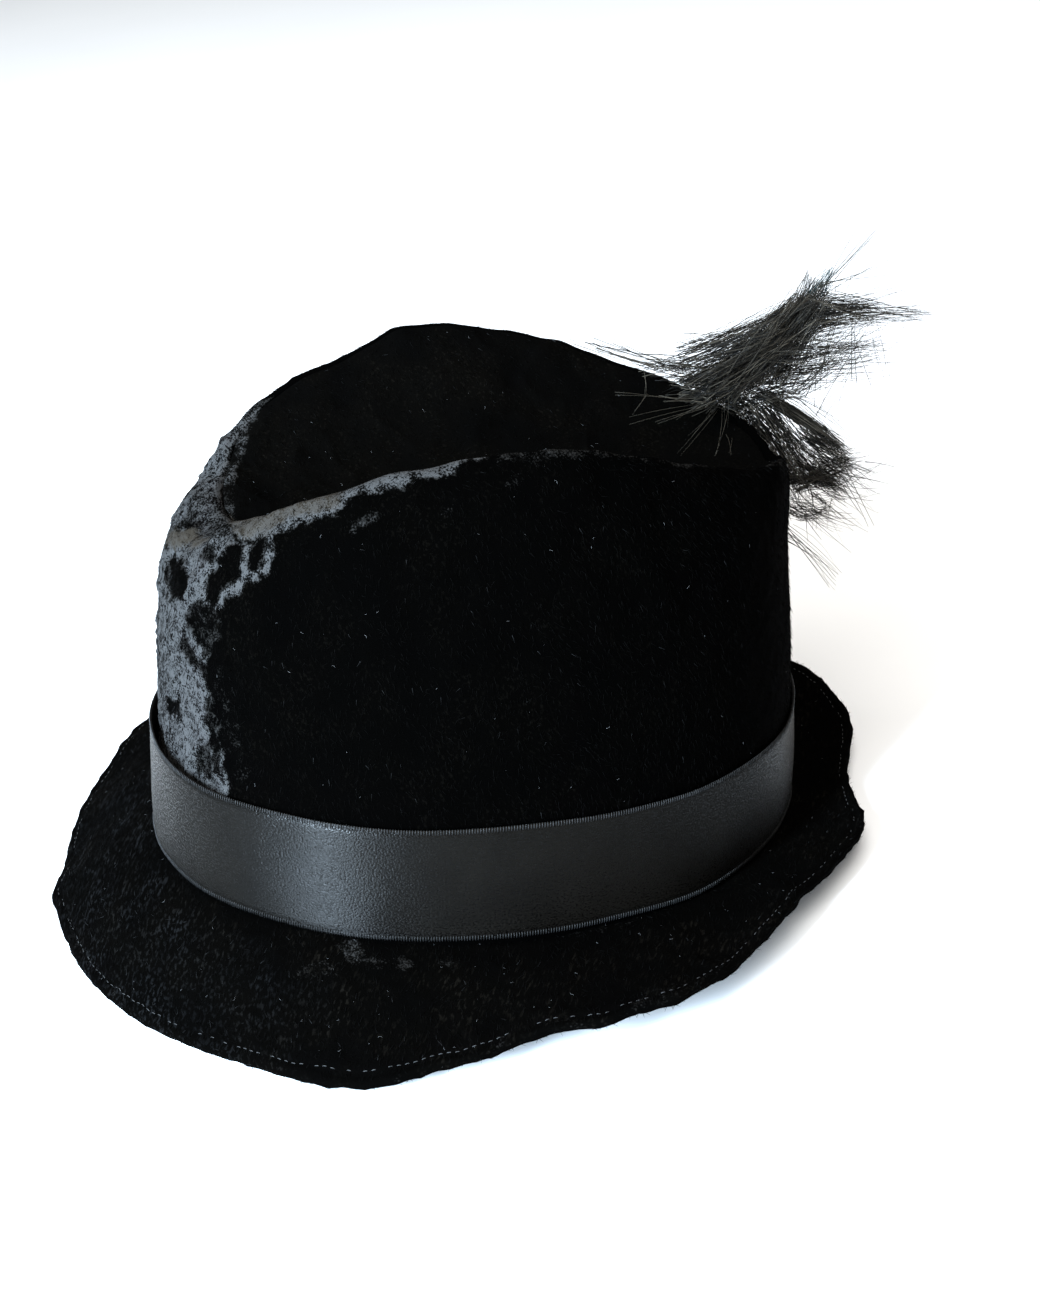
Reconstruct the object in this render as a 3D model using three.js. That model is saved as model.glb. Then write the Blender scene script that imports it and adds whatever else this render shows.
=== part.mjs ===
// A soft trilby in black crushed velvet, cut and sewn from panels. The crown has a left and a right side
// panel, which meet in a crease at the front pinch, and a long dented tip sewn in between their top
// edges. A narrow brim dips at the front and turns up a little at the back, a satin ribbon runs round the
// base of the crown, and a bristly two-tuft plume stands on a quill that is tucked behind the ribbon at
// the back right.
//
// Units are millimetres. The shape is worked out in the hat's own frame, with the sewing line of crown
// and brim in the plane z = 0, the front towards -Y, the wearer's left towards +X and up along +Z. Angles
// go round the hat from the front (0) over the left (90) and the back (180) to the right (270), in
// degrees. The hat is then leaned back as it lies on a table, on the front of its brim and the back of
// its sewing line.
import * as THREE from "three";

// Driving dimensions.
const CROWN_HALF_LENGTH = 102; // outside of the crown at the sewing line, front to back
const CROWN_HALF_WIDTH = 85; // outside of the crown at the sewing line, side to side
const CLOTH = 2.5; // velvet with its stiffened backing
const BRIM_CLOTH = 2.8; // two plies of velvet, stitched near the edge
const RIBBON_WIDTH = 35;
const RIBBON_THICKNESS = 0.8;
const GAP = 0.3; // between pieces that are sewn or laid together
const REST_PITCH = 6; // lean of the hat on the table, front up
const REST_ROLL = 1; // lean of the hat on the table, left side up
const PRESSED_FLAT = 1; // how much of the lowest cloth is pressed flat where it rests

// Fineness of the facets.
const STEPS_ROUND = 72;
const WALL_STEPS = 11;
const TIP_STEPS = 6;
const BRIM_STEPS = 5;
const RIBBON_STEPS = 3;

// The line where the side panels meet the tip. over and under place the wall's shoulder, outside of the
// line and below it: a small over gives the square corner at the back, a large one the round nose at the
// front.
const SEAM = [
  { angle: 0, x: 0, y: -72, z: 99, over: 25, under: -3 },
  { angle: 12, x: 11, y: -74, z: 104, over: 22, under: -1 },
  { angle: 28, x: 27, y: -70, z: 112, over: 20, under: 4 },
  { angle: 45, x: 40, y: -57, z: 120, over: 19, under: 9 },
  { angle: 65, x: 50, y: -33, z: 129, over: 21, under: 14 },
  { angle: 90, x: 55, y: 0, z: 134, over: 22, under: 16 },
  { angle: 112, x: 54, y: 32, z: 130, over: 18, under: 18 },
  { angle: 134, x: 46, y: 62, z: 121, over: 12, under: 24 },
  { angle: 152, x: 33, y: 81, z: 113.5, over: 5, under: 30 },
  { angle: 168, x: 15, y: 91, z: 110.5, over: 2, under: 34 },
  { angle: 180, x: 0, y: 93, z: 110, over: 2, under: 34 },
  { angle: 192, x: -15, y: 91, z: 110.5, over: 2, under: 34 },
  { angle: 208, x: -33, y: 81, z: 115, over: 5, under: 30 },
  { angle: 226, x: -46, y: 62, z: 122, over: 12, under: 24 },
  { angle: 248, x: -54, y: 32, z: 131, over: 18, under: 18 },
  { angle: 268, x: -55, y: 3, z: 136, over: 22, under: 16 },
  { angle: 280, x: -54, y: -15, z: 132, over: 22, under: 15 },
  { angle: 297, x: -49, y: -36, z: 127, over: 21, under: 13 },
  { angle: 315, x: -40, y: -57, z: 119, over: 19, under: 9 },
  { angle: 332, x: -27, y: -70, z: 110, over: 20, under: 4 },
  { angle: 348, x: -11, y: -74, z: 103, over: 22, under: -1 },
];

// The brim's edge: how far it reaches out from the sewing line, and how high it lies over that line.
const BRIM_EDGE = [
  { angle: 0, reach: 34, rise: -25 },
  { angle: 15, reach: 34.5, rise: -25.5 },
  { angle: 30, reach: 35, rise: -24.5 },
  { angle: 45, reach: 37, rise: -21.5 },
  { angle: 60, reach: 40, rise: -18.5 },
  { angle: 75, reach: 38.5, rise: -11 },
  { angle: 90, reach: 38, rise: -2 },
  { angle: 105, reach: 37, rise: 3 },
  { angle: 120, reach: 30, rise: 6 },
  { angle: 135, reach: 25.5, rise: 7 },
  { angle: 150, reach: 24, rise: 6 },
  { angle: 165, reach: 20.5, rise: 6 },
  { angle: 180, reach: 26, rise: 10 },
  { angle: 195, reach: 28, rise: 13 },
  { angle: 215, reach: 31, rise: 9 },
  { angle: 240, reach: 36, rise: 5 },
  { angle: 270, reach: 41, rise: -1 },
  { angle: 295, reach: 43, rise: -7 },
  { angle: 315, reach: 46, rise: -13 },
  { angle: 330, reach: 40, rise: -21 },
  { angle: 345, reach: 34, rise: -25 },
];
const BRIM_CURVE = 1.3; // over 1, the brim starts flat at the crown and bends towards its edge

// The wall swells a little above the ribbon: how far in and how high its fullest part lies, as shares of
// the way from the sewing line to the tip's seam.
const WALL_SWELL = { inward: 0.03, height: 0.38 };

// The dent in the tip runs along the middle, from its front end to its back end.
const DENT_FRONT = { y: -48, z: 97 };
const DENT_BACK = { y: 64, z: 101 };

// The tip's edge lies inside the wall's top edge and a little under it. From there its cross section
// falls to the dent: start and bottom are the shares of the way that its slope and its floor take, and
// sink deepens the slope.
const TIP_EDGE = { inset: CLOTH + 0.6, drop: 0.6 };
const TIP_SECTION = { start: 0.34, sink: 0.12, bottom: 0.4 };

// The ribbon lies just over the brim. It stands off the crown at the front, and where the quill is tucked
// behind it.
const RIBBON_LIFT = 1.6;
const RIBBON_CLEARANCE = 0.5;
const RIBBON_SLACK = { angle: 4, width: 45, stand: 2 };
const RIBBON_OVER_QUILL = { width: 9, stand: 2.9 };

// The quill follows the crown's wall up to the back of the right ridge, where both tufts are tied to it.
const QUILL_ANGLE = 199;
const QUILL_RADIUS = 1.1;
const QUILL_FOOT = 9; // height of its lower end over the sewing line
const QUILL_CLEARANCE = 0.4;
const QUILL_STEPS = 14;
const TIE = { out: 2, rise: 6 }; // where both tufts are tied, out from the ridge and over it

// The tufts' outer forms, along their centre lines. back, up and right are measured from the tie; wide is
// the half width in the plane that runs front to back, deep the half depth across it.
const UPPER_TUFT = [
  { back: -32, up: 10, right: 0, wide: 2.5, deep: 3 },
  { back: -18, up: 8.5, right: 0, wide: 6.5, deep: 8 },
  { back: -4, up: 10.3, right: 0, wide: 10.1, deep: 11 },
  { back: 10, up: 14, right: 0, wide: 13.4, deep: 12 },
  { back: 22, up: 20, right: 0, wide: 17, deep: 13 },
  { back: 34, up: 26, right: 0, wide: 18, deep: 11 },
  { back: 45, up: 32, right: 0, wide: 12, deep: 7 },
  { back: 52, up: 36, right: 0, wide: 3, deep: 2.5 },
];
const LOWER_TUFT = [
  { back: 2.5, up: -1.7, right: 0, wide: 1.3, deep: 2.5 },
  { back: 9, up: -6.5, right: 0, wide: 4, deep: 6 },
  { back: 18, up: -16.5, right: 1, wide: 7, deep: 9 },
  { back: 26.5, up: -27.5, right: 2, wide: 10.5, deep: 10 },
  { back: 32, up: -36, right: 3, wide: 11.5, deep: 8 },
  { back: 34.5, up: -40, right: 3, wide: 7, deep: 4 },
];
const TUFT_SIDES = 14;

const UP = new THREE.Vector3(0, 0, 1);
const { clamp, degToRad: radians, euclideanModulo, lerp } = THREE.MathUtils;

// Smoothly reads one column of a table that closes on itself, at any angle.
function around(table, column, angle) {
  const count = table.length;
  const turned = euclideanModulo(angle, 360);
  let row = count - 1;
  while (table[row].angle > turned) row--;
  const value = (k) => table[euclideanModulo(k, count)][column];
  const place = (k) => table[euclideanModulo(k, count)].angle + 360 * Math.floor(k / count);
  const span = place(row + 1) - place(row);
  const slope = (k) => (value(k + 1) - value(k - 1)) / (place(k + 1) - place(k - 1));
  const t = (turned - place(row)) / span;
  return (
    value(row) * (1 + 2 * t) * (1 - t) ** 2 +
    slope(row) * span * t * (1 - t) ** 2 +
    value(row + 1) * t * t * (3 - 2 * t) +
    slope(row + 1) * span * t * t * (t - 1)
  );
}

// A smooth hump of height 1 round one angle, falling to nothing over width degrees either side.
function hump(angle, middle, width) {
  const away = Math.abs(euclideanModulo(angle - middle + 180, 360) - 180);
  return away < width ? 0.5 + 0.5 * Math.cos((Math.PI * away) / width) : 0;
}

// The sewing line of crown and brim, on the outside of the crown, and its outward direction.
function basePoint(angle) {
  const a = radians(angle);
  return new THREE.Vector3(CROWN_HALF_WIDTH * Math.sin(a), -CROWN_HALF_LENGTH * Math.cos(a), 0);
}
function outward(angle) {
  const a = radians(angle);
  return new THREE.Vector3(Math.sin(a) / CROWN_HALF_WIDTH, -Math.cos(a) / CROWN_HALF_LENGTH, 0).normalize();
}

function seamPoint(angle) {
  return new THREE.Vector3(around(SEAM, "x", angle), around(SEAM, "y", angle), around(SEAM, "z", angle));
}

// The outside of the crown's wall, from the sewing line at share 0 to the tip's seam at share 1.
function wallCurve(angle) {
  const foot = basePoint(angle);
  const top = seamPoint(angle);
  const away = outward(angle);
  const belly = foot.clone().lerp(top.clone().setZ(0), WALL_SWELL.inward).setZ(WALL_SWELL.height * top.z);
  const shoulder = top
    .clone()
    .addScaledVector(away, around(SEAM, "over", angle))
    .addScaledVector(UP, -around(SEAM, "under", angle));
  return new THREE.CubicBezierCurve3(foot.setZ(GAP), belly, shoulder, top);
}
function wallPoint(angle, share) {
  return wallCurve(angle).getPoint(share);
}

// The wall's point at a height over the sewing line, found by halving.
function wallAtHeight(angle, height) {
  const curve = wallCurve(angle);
  let low = 0;
  let high = 0.9;
  for (let i = 0; i < 24; i++) {
    const middle = (low + high) / 2;
    if (curve.getPoint(middle).z < height) low = middle;
    else high = middle;
  }
  return curve.getPoint(low);
}

// The brim's upper face, from the sewing line at share 0 to the edge at share 1.
function brimPoint(angle, share) {
  return basePoint(angle)
    .addScaledVector(outward(angle), share * around(BRIM_EDGE, "reach", angle))
    .addScaledVector(UP, around(BRIM_EDGE, "rise", angle) * share ** BRIM_CURVE);
}

// Leans the hat as it lies on the table. The floor and the middle of its box are found afterwards.
function atRest(point) {
  return point
    .clone()
    .applyAxisAngle(new THREE.Vector3(0, 1, 0), radians(-REST_ROLL))
    .applyAxisAngle(new THREE.Vector3(1, 0, 0), radians(-REST_PITCH));
}

// The outward direction of a grid of points at each of them, from its neighbours.
function gridNormals(grid, closed) {
  const columns = grid.length;
  const rows = grid[0].length;
  const pick = (i, j) => {
    const column = closed ? euclideanModulo(i, columns) : clamp(i, 0, columns - 1);
    return grid[column][clamp(j, 0, rows - 1)];
  };
  return grid.map((line, i) =>
    line.map((_, j) => {
      const across = pick(i + 1, j).clone().sub(pick(i - 1, j));
      const along = pick(i, j + 1).clone().sub(pick(i, j - 1));
      return across.cross(along).normalize();
    }),
  );
}

// A closed mesh from an outer and an inner grid of points, with the same counts. A closed grid runs round
// on itself; a zipped one ends in a line where its left and right halves meet.
function shellGeometry(outer, inner, { closed, zipped = false }) {
  const columns = outer.length;
  const rows = outer[0].length;
  const points = [...outer.flat(), ...inner.flat()];
  const outerAt = (i, j) => (i % columns) * rows + j;
  const innerAt = (i, j) => columns * rows + outerAt(i, j);
  const faces = [];
  const quad = (a, b, c, d) => faces.push([a, b, c], [a, c, d]);
  const spans = closed ? columns : columns - 1;
  for (let i = 0; i < spans; i++) {
    for (let j = 0; j < rows - 1; j++) {
      quad(outerAt(i, j), outerAt(i + 1, j), outerAt(i + 1, j + 1), outerAt(i, j + 1));
      quad(innerAt(i, j), innerAt(i, j + 1), innerAt(i + 1, j + 1), innerAt(i + 1, j));
    }
    quad(outerAt(i, 0), innerAt(i, 0), innerAt(i + 1, 0), outerAt(i + 1, 0));
    if (!zipped) {
      const last = rows - 1;
      quad(outerAt(i, last), outerAt(i + 1, last), innerAt(i + 1, last), innerAt(i, last));
    }
  }
  if (!closed) {
    for (let j = 0; j < rows - 1; j++) {
      const end = columns - 1;
      quad(outerAt(0, j), outerAt(0, j + 1), innerAt(0, j + 1), innerAt(0, j));
      quad(outerAt(end, j), innerAt(end, j), innerAt(end, j + 1), outerAt(end, j + 1));
    }
  }
  return meshGeometry(points, faces);
}

// A geometry from points and triangles, without those that have shrunk to a line.
function meshGeometry(points, faces) {
  const key = (p) => `${p.x.toFixed(3)},${p.y.toFixed(3)},${p.z.toFixed(3)}`;
  const kept = faces.filter((f) => new Set(f.map((k) => key(points[k]))).size === 3);
  const flat = kept.flatMap((f) => f.flatMap((k) => points[k].toArray()));
  const geometry = new THREE.BufferGeometry();
  geometry.setAttribute("position", new THREE.Float32BufferAttribute(flat, 3));
  geometry.computeVertexNormals();
  return geometry;
}

function offsetGrid(grid, normals, distance) {
  const moved = (point, normal) => point.clone().addScaledVector(normal, distance);
  return grid.map((line, i) => line.map((point, j) => moved(point, normals[i][j])));
}

function makeGrid(columns, rows, pointAt) {
  return Array.from({ length: columns }, (_, i) => Array.from({ length: rows }, (_, j) => pointAt(i, j)));
}

function mapGrid(grid, change) {
  return grid.map((line) => line.map(change));
}

// One side panel of the crown. side is 1 for the left, from the front round to the back, and -1 for the
// right.
function sidePanel(side) {
  const spans = STEPS_ROUND / 2;
  const start = side > 0 ? 0 : 180;
  const angleOf = (i) => start + (180 * i) / spans;
  const outer = makeGrid(spans + 1, WALL_STEPS + 1, (i, j) => wallPoint(angleOf(i), j / WALL_STEPS));
  const whole = makeGrid(spans + 3, WALL_STEPS + 1, (i, j) => wallPoint(angleOf(i - 1), j / WALL_STEPS));
  const normals = gridNormals(whole, false).slice(1, -1);
  const inner = offsetGrid(outer, normals, -CLOTH);
  const clear = (point) => point.setX(side * Math.max(side * point.x, GAP / 2));
  const level = (point) => point.setZ(Math.max(point.z, GAP));
  return shellGeometry(mapGrid(outer, clear), mapGrid(mapGrid(inner, clear), level), { closed: false });
}

// The tip: a long dish, sewn inside the top edges of the side panels.
function tipGeometry() {
  const rows = TIP_STEPS + 1;
  const top = makeGrid(STEPS_ROUND, rows, (i, j) => {
    const angle = (360 * i) / STEPS_ROUND;
    const seam = seamPoint(angle);
    const edge = seam.addScaledVector(seamInward(angle), TIP_EDGE.inset);
    edge.z -= TIP_EDGE.drop;
    const lengthways = (1 - Math.cos(radians(angle))) / 2;
    const dent = new THREE.Vector3(
      0,
      lerp(DENT_FRONT.y, DENT_BACK.y, lengthways),
      lerp(DENT_FRONT.z, DENT_BACK.z, lengthways),
    );
    const sink = TIP_SECTION.sink * (edge.z - dent.z);
    const steep = edge.clone().lerp(dent, TIP_SECTION.start).addScaledVector(UP, -sink);
    const flat = dent.clone().lerp(edge.clone().setZ(dent.z), TIP_SECTION.bottom);
    return new THREE.CubicBezierCurve3(edge, steep, flat, dent).getPoint(j / TIP_STEPS);
  });
  const normals = gridNormals(top, true);
  const upright = [0, rows - 1];
  normals.forEach((line) => upright.forEach((j) => line[j].copy(UP)));
  return shellGeometry(top, offsetGrid(top, normals, -CLOTH), { closed: true, zipped: true });
}

// The level direction from the tip's seam towards the middle of the crown.
function seamInward(angle) {
  const step = 2;
  const along = seamPoint(angle + step).sub(seamPoint(angle - step)).setZ(0).normalize();
  return new THREE.Vector3(-along.y, along.x, 0);
}

// The brim: its last row lies under the inside of the crown's wall.
function brimGeometry() {
  const top = makeGrid(STEPS_ROUND, BRIM_STEPS + 2, (i, j) => {
    const angle = (360 * i) / STEPS_ROUND;
    if (j > BRIM_STEPS) return brimPoint(angle, 0).addScaledVector(outward(angle), -CLOTH);
    return brimPoint(angle, 1 - j / BRIM_STEPS);
  });
  const under = offsetGrid(top, gridNormals(top, true), -BRIM_CLOTH);
  return shellGeometry(top, under, { closed: true });
}

// How far the inside of the ribbon stands from the crown's wall.
function ribbonStand(angle) {
  return (
    RIBBON_CLEARANCE +
    RIBBON_SLACK.stand * hump(angle, RIBBON_SLACK.angle, RIBBON_SLACK.width) +
    RIBBON_OVER_QUILL.stand * hump(angle, QUILL_ANGLE, RIBBON_OVER_QUILL.width)
  );
}

function ribbonGeometry() {
  const grid = (distance) =>
    makeGrid(STEPS_ROUND, RIBBON_STEPS + 1, (i, j) => {
      const angle = (360 * i) / STEPS_ROUND;
      const height = RIBBON_LIFT + (RIBBON_WIDTH * j) / RIBBON_STEPS;
      return wallAtHeight(angle, height).addScaledVector(outward(angle), ribbonStand(angle) + distance);
    });
  return shellGeometry(grid(RIBBON_THICKNESS), grid(0), { closed: true });
}

// Where both tufts are tied to the quill, just over the back of the right ridge.
function tuftRoot() {
  const ridge = seamPoint(QUILL_ANGLE);
  return ridge.addScaledVector(outward(QUILL_ANGLE), TIE.out).addScaledVector(UP, TIE.rise);
}

function quillGeometry() {
  const stand = QUILL_RADIUS + QUILL_CLEARANCE;
  const top = seamPoint(QUILL_ANGLE).z;
  const points = [0, 0.35, 0.7, 0.98].map((share) => {
    const height = lerp(QUILL_FOOT, top, share);
    return wallAtHeight(QUILL_ANGLE, height).addScaledVector(outward(QUILL_ANGLE), stand);
  });
  points.push(tuftRoot());
  const circle = new THREE.Shape().absarc(0, 0, QUILL_RADIUS, 0, 2 * Math.PI);
  const path = new THREE.CatmullRomCurve3(points);
  return new THREE.ExtrudeGeometry(circle, { steps: QUILL_STEPS, extrudePath: path, curveSegments: 4 });
}

// A tuft's outer form: ovals along its centre line, closed by a point at each end.
function tuftGeometry(sections) {
  const root = tuftRoot();
  const centres = sections.map((s) => new THREE.Vector3(-s.right, s.back, s.up).add(root));
  const rings = sections.map((section, k) => {
    const ahead = centres[Math.min(k + 1, centres.length - 1)];
    const behind = centres[Math.max(k - 1, 0)];
    const along = ahead.clone().sub(behind).normalize();
    const acrossWide = new THREE.Vector3(1, 0, 0).cross(along).normalize();
    const acrossDeep = along.clone().cross(acrossWide).normalize();
    return Array.from({ length: TUFT_SIDES }, (_, i) => {
      const turn = (2 * Math.PI * i) / TUFT_SIDES;
      return centres[k]
        .clone()
        .addScaledVector(acrossWide, section.wide * Math.cos(turn))
        .addScaledVector(acrossDeep, section.deep * Math.sin(turn));
    });
  });
  const points = [...rings.flat(), centres[0], centres.at(-1)];
  const foot = points.length - 2;
  const head = points.length - 1;
  const last = (rings.length - 1) * TUFT_SIDES;
  const faces = [];
  for (let i = 0; i < TUFT_SIDES; i++) {
    const next = (i + 1) % TUFT_SIDES;
    faces.push([foot, next, i], [head, last + i, last + next]);
    for (let k = 0; k < last; k += TUFT_SIDES) {
      const above = k + TUFT_SIDES;
      faces.push([k + i, k + next, above + next], [k + i, above + next, above + i]);
    }
  }
  return meshGeometry(points, faces);
}

// Moves every point of a geometry by a function of the point.
function bend(geometry, change) {
  const position = geometry.getAttribute("position");
  const point = new THREE.Vector3();
  for (let i = 0; i < position.count; i++) {
    point.fromBufferAttribute(position, i);
    const moved = change(point);
    position.setXYZ(i, moved.x, moved.y, moved.z);
  }
  geometry.computeVertexNormals();
  geometry.computeBoundingBox();
  return geometry;
}

const velvet = { color: 0x08080a, roughness: 0.95, metalness: 0 };
const satin = { color: 0x26262a, roughness: 0.35, metalness: 0 };
const bristle = { color: 0x101011, roughness: 0.6, metalness: 0 };

const pieces = [
  { name: "crown_left", geometry: sidePanel(1), finish: velvet },
  { name: "crown_right", geometry: sidePanel(-1), finish: velvet },
  { name: "crown_tip", geometry: tipGeometry(), finish: velvet },
  { name: "brim", geometry: brimGeometry(), finish: velvet },
  { name: "ribbon", geometry: ribbonGeometry(), finish: satin },
  { name: "plume_quill", geometry: quillGeometry(), finish: bristle },
  { name: "plume_tuft_upper", geometry: tuftGeometry(UPPER_TUFT), finish: bristle },
  { name: "plume_tuft_lower", geometry: tuftGeometry(LOWER_TUFT), finish: bristle },
];

pieces.forEach((piece) => bend(piece.geometry, atRest));

// The floor lies a little over the lowest cloth, which is pressed flat on it, and the origin is the
// middle of the hat's box, on the floor.
const box = new THREE.Box3();
pieces.forEach((piece) => box.union(piece.geometry.boundingBox));
const middle = box.getCenter(new THREE.Vector3());
const floor = box.min.z + PRESSED_FLAT;
pieces.forEach((piece) =>
  bend(piece.geometry, (p) => new THREE.Vector3(p.x - middle.x, p.y - middle.y, Math.max(p.z - floor, 0))),
);

const hat = new THREE.Group();
pieces.forEach((piece) => {
  const mesh = new THREE.Mesh(piece.geometry, new THREE.MeshStandardMaterial(piece.finish));
  mesh.name = piece.name;
  hat.add(mesh);
});

export default hat;
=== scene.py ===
"""The looks of a black velvet trilby with a satin ribbon and a plume of bristles, round its CAD frame.

Lengths inside the functions are millimetres in the hat's own frame: its sewing line lies level in z = 0,
its front is -Y and the wearer's left is +X. Points turn into the row frame, in metres, when a mesh is made.
"""

import math

import bmesh
import bpy
import numpy as np
from mathutils import Matrix, Vector, kdtree
from mathutils.bvhtree import BVHTree


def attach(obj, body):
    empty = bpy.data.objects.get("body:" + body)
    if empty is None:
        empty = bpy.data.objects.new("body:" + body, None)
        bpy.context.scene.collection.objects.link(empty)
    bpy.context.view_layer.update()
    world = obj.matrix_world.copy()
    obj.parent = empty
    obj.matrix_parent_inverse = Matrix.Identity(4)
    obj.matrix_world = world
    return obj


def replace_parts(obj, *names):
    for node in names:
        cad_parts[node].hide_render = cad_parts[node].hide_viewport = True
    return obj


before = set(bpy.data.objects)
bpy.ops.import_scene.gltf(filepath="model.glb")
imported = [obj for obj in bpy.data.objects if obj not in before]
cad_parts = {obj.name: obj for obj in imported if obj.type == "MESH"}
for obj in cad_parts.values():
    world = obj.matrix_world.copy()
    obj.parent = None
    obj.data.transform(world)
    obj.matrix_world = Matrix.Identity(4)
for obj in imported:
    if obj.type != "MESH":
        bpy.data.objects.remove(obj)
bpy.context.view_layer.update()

MM = 0.001
UP = np.array([0.0, 0.0, 1.0])

# How the hat lies on the floor: leaned back by this pitch and roll, in degrees.
REST_PITCH = 6
REST_ROLL = 1

# How high the ribbon's lower edge is over the sewing line.
RIBBON_LIFT = 1.6

# The camera, in the row frame. Its place is in metres and its angles are in degrees.
CAMERA_PLACE = (0.4962, -0.1010, 0.3401)
CAMERA_AZIMUTH = 79.58
CAMERA_ELEVATION = 33.04
CAMERA_ROLL = -6.75
CAMERA_LENS = 51.25
CAMERA_SHIFT = (0.0346, 0.1076)
PHOTO_SIZE = (1040, 1300)
SENSOR = 36

# Subdivision levels of the velvet pieces.
VELVET_LEVELS = 3

# How often, and by what share of the miss, the corners are pushed out before a piece is subdivided.
PUSHES = 4
PUSH_SHARE = 0.9

# How far the pile is crushed, and painted with a sheen, round each side of the front, in degrees, at heights
# over the sewing line.
FRONT_HEIGHTS = (40, 55, 75, 95, 110, 125)
FRONT_REACHES = (32, 34, 28, 23, 31, 42)

# Where the pile is crushed, and where a painted sheen lies, on the side that the camera sees: how strongly,
# then an outline in pixels of the photograph. Dark islands inside it come after.
CRUSHED_SHEEN_FRONT = (
    1.0,
    [(130, 538), (236, 538), (241, 544), (272, 538), (276, 545), (277, 562), (271, 577), (250, 590),
     (238, 600), (222, 612), (222, 640), (216, 655), (208, 668), (211, 690), (213, 715), (217, 745),
     (226, 775), (226, 810), (120, 810), (120, 600)],
)
CRUSHED_SHEEN_HIGH = (
    0.72,
    [(130, 545), (150, 500), (170, 470), (190, 445), (225, 415), (256, 390), (272, 392), (255, 432),
     (245, 458), (240, 490), (237, 545)],
)
CRUSHED_SHEEN_RIDGE = (
    1.0,
    [(232, 518), (258, 511), (285, 501), (320, 489), (345, 480), (380, 469), (420, 461), (462, 452),
     (486, 452), (487, 460), (466, 465), (452, 477), (434, 480), (417, 485), (399, 494), (374, 496),
     (354, 501), (345, 507), (333, 517), (320, 522), (302, 529), (282, 537), (262, 541), (236, 542)],
)
# Paler patches on the ridges and along the far ridge's top: partly rubbed pile, partly a painted sheen.
RUBBED_AND_SHEEN = (
    (0.24, [(214, 660), (224, 670), (232, 700), (244, 735), (256, 780), (232, 790), (213, 700)]),
    (0.55, [(350, 532), (358, 520), (378, 515), (391, 516), (385, 524), (365, 533)]),
    (0.35, [(441, 535), (444, 512), (450, 500), (458, 500), (455, 515), (447, 535)]),
    (0.30, [(255, 450), (262, 434), (274, 430), (276, 442), (266, 456)]),
    (0.35, [(505, 490), (512, 476), (522, 472), (520, 486), (511, 494)]),
    (0.50, [(500, 447), (560, 441), (600, 440), (650, 447), (680, 456), (720, 452), (770, 455), (790, 462),
            (780, 472), (720, 463), (690, 468), (650, 463), (610, 459), (575, 462), (540, 465), (500, 460)]),
)
DARK_ISLANDS = (
    (0.95, [(214, 578), (231, 551), (247, 547), (246, 560), (243, 576), (231, 590), (222, 609), (212, 601)]),
    (0.95, [(253, 546), (267, 543), (269, 560), (263, 571), (252, 573)]),
    (0.95, [(174, 562), (184, 560), (190, 575), (188, 597), (178, 601), (173, 585)]),
    (0.62, [(188, 616), (198, 603), (212, 603), (222, 618), (220, 650), (208, 660), (198, 640)]),
    (0.60, [(186, 636), (200, 652), (214, 682), (208, 688), (196, 668), (180, 646)]),
    (0.90, [(166, 700), (174, 697), (178, 706), (171, 714), (164, 709)]),
    (0.70, [(205, 700), (211, 705), (213, 740), (218, 775), (210, 775), (206, 740)]),
    (0.50, [(196, 745), (206, 750), (212, 780), (200, 785), (190, 762)]),
    (0.60, [(206, 556), (214, 548), (217, 560), (208, 570)]),
    (0.80, [(185, 522), (196, 516), (199, 524), (190, 530)]),
    (0.75, [(205, 478), (216, 466), (218, 486), (212, 500), (206, 492)]),
    (0.70, [(228, 455), (236, 446), (238, 462), (231, 470)]),
    (0.55, [(222, 494), (236, 490), (240, 506), (226, 508)]),
    (0.50, [(208, 430), (222, 418), (226, 436), (214, 446)]),
)
# Paler patches on the brim: partly rubbed pile, partly a painted sheen.
RUBBED_BRIM_AND_SHEEN = (
    (0.60, [(340, 939), (358, 939), (363, 950), (355, 962), (345, 959), (340, 947)]),
    (0.50, [(352, 960), (372, 957), (411, 960), (408, 966), (370, 967)]),
    (0.42, [(288, 979), (300, 968), (322, 961), (342, 963), (340, 972), (315, 979), (295, 985)]),
    (0.35, [(436, 966), (446, 954), (456, 955), (452, 968)]),
    (0.45, [(560, 935), (600, 926), (650, 917), (652, 921), (600, 932), (562, 940)]),
    (0.30, [(640, 990), (690, 975), (720, 966), (724, 972), (690, 984), (645, 997)]),
    (0.30, [(786, 862), (796, 858), (798, 878), (788, 884)]),
)
BARE = (
    (0.9, [(150, 531), (200, 533), (214, 540), (200, 547), (150, 550)]),
    (0.75, [(234, 520), (258, 511), (285, 501), (320, 489), (345, 482), (340, 504), (300, 520), (262, 536),
           (236, 538)]),
)

# How far the brim's edge lies in or out of the even edge, in millimetres, by degrees round the hat.
EDGE_TURNS = (-60, -45, -35, -25, -10, -5, 0, 8, 25, 36, 46, 54, 61, 65, 71, 76, 82, 87, 92, 97, 102, 108,
              116, 124, 130, 137, 143, 148, 155, 160, 166, 172, 180)
EDGE_PUSHES = (0.0, -1.2, -2.4, 0.0, 0.3, 2.1, -0.3, -1.6, -1.6, -2.2, -1.5, -0.5, 1.4, 1.2, -1.2, -0.8,
               -3.3, -2.8, 0.6, 0.0, 1.6, 0.7, -0.6, -1.2, -2.7, -1.2, -0.6, 0.6, 0.4, -1.6, -2.7, -2.2, 0.0)

# Millimetres by which the far front of the crown is fuller, and its foot at the front tucked in.
FULLNESS = 1.3
TUCK = 2.3

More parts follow.
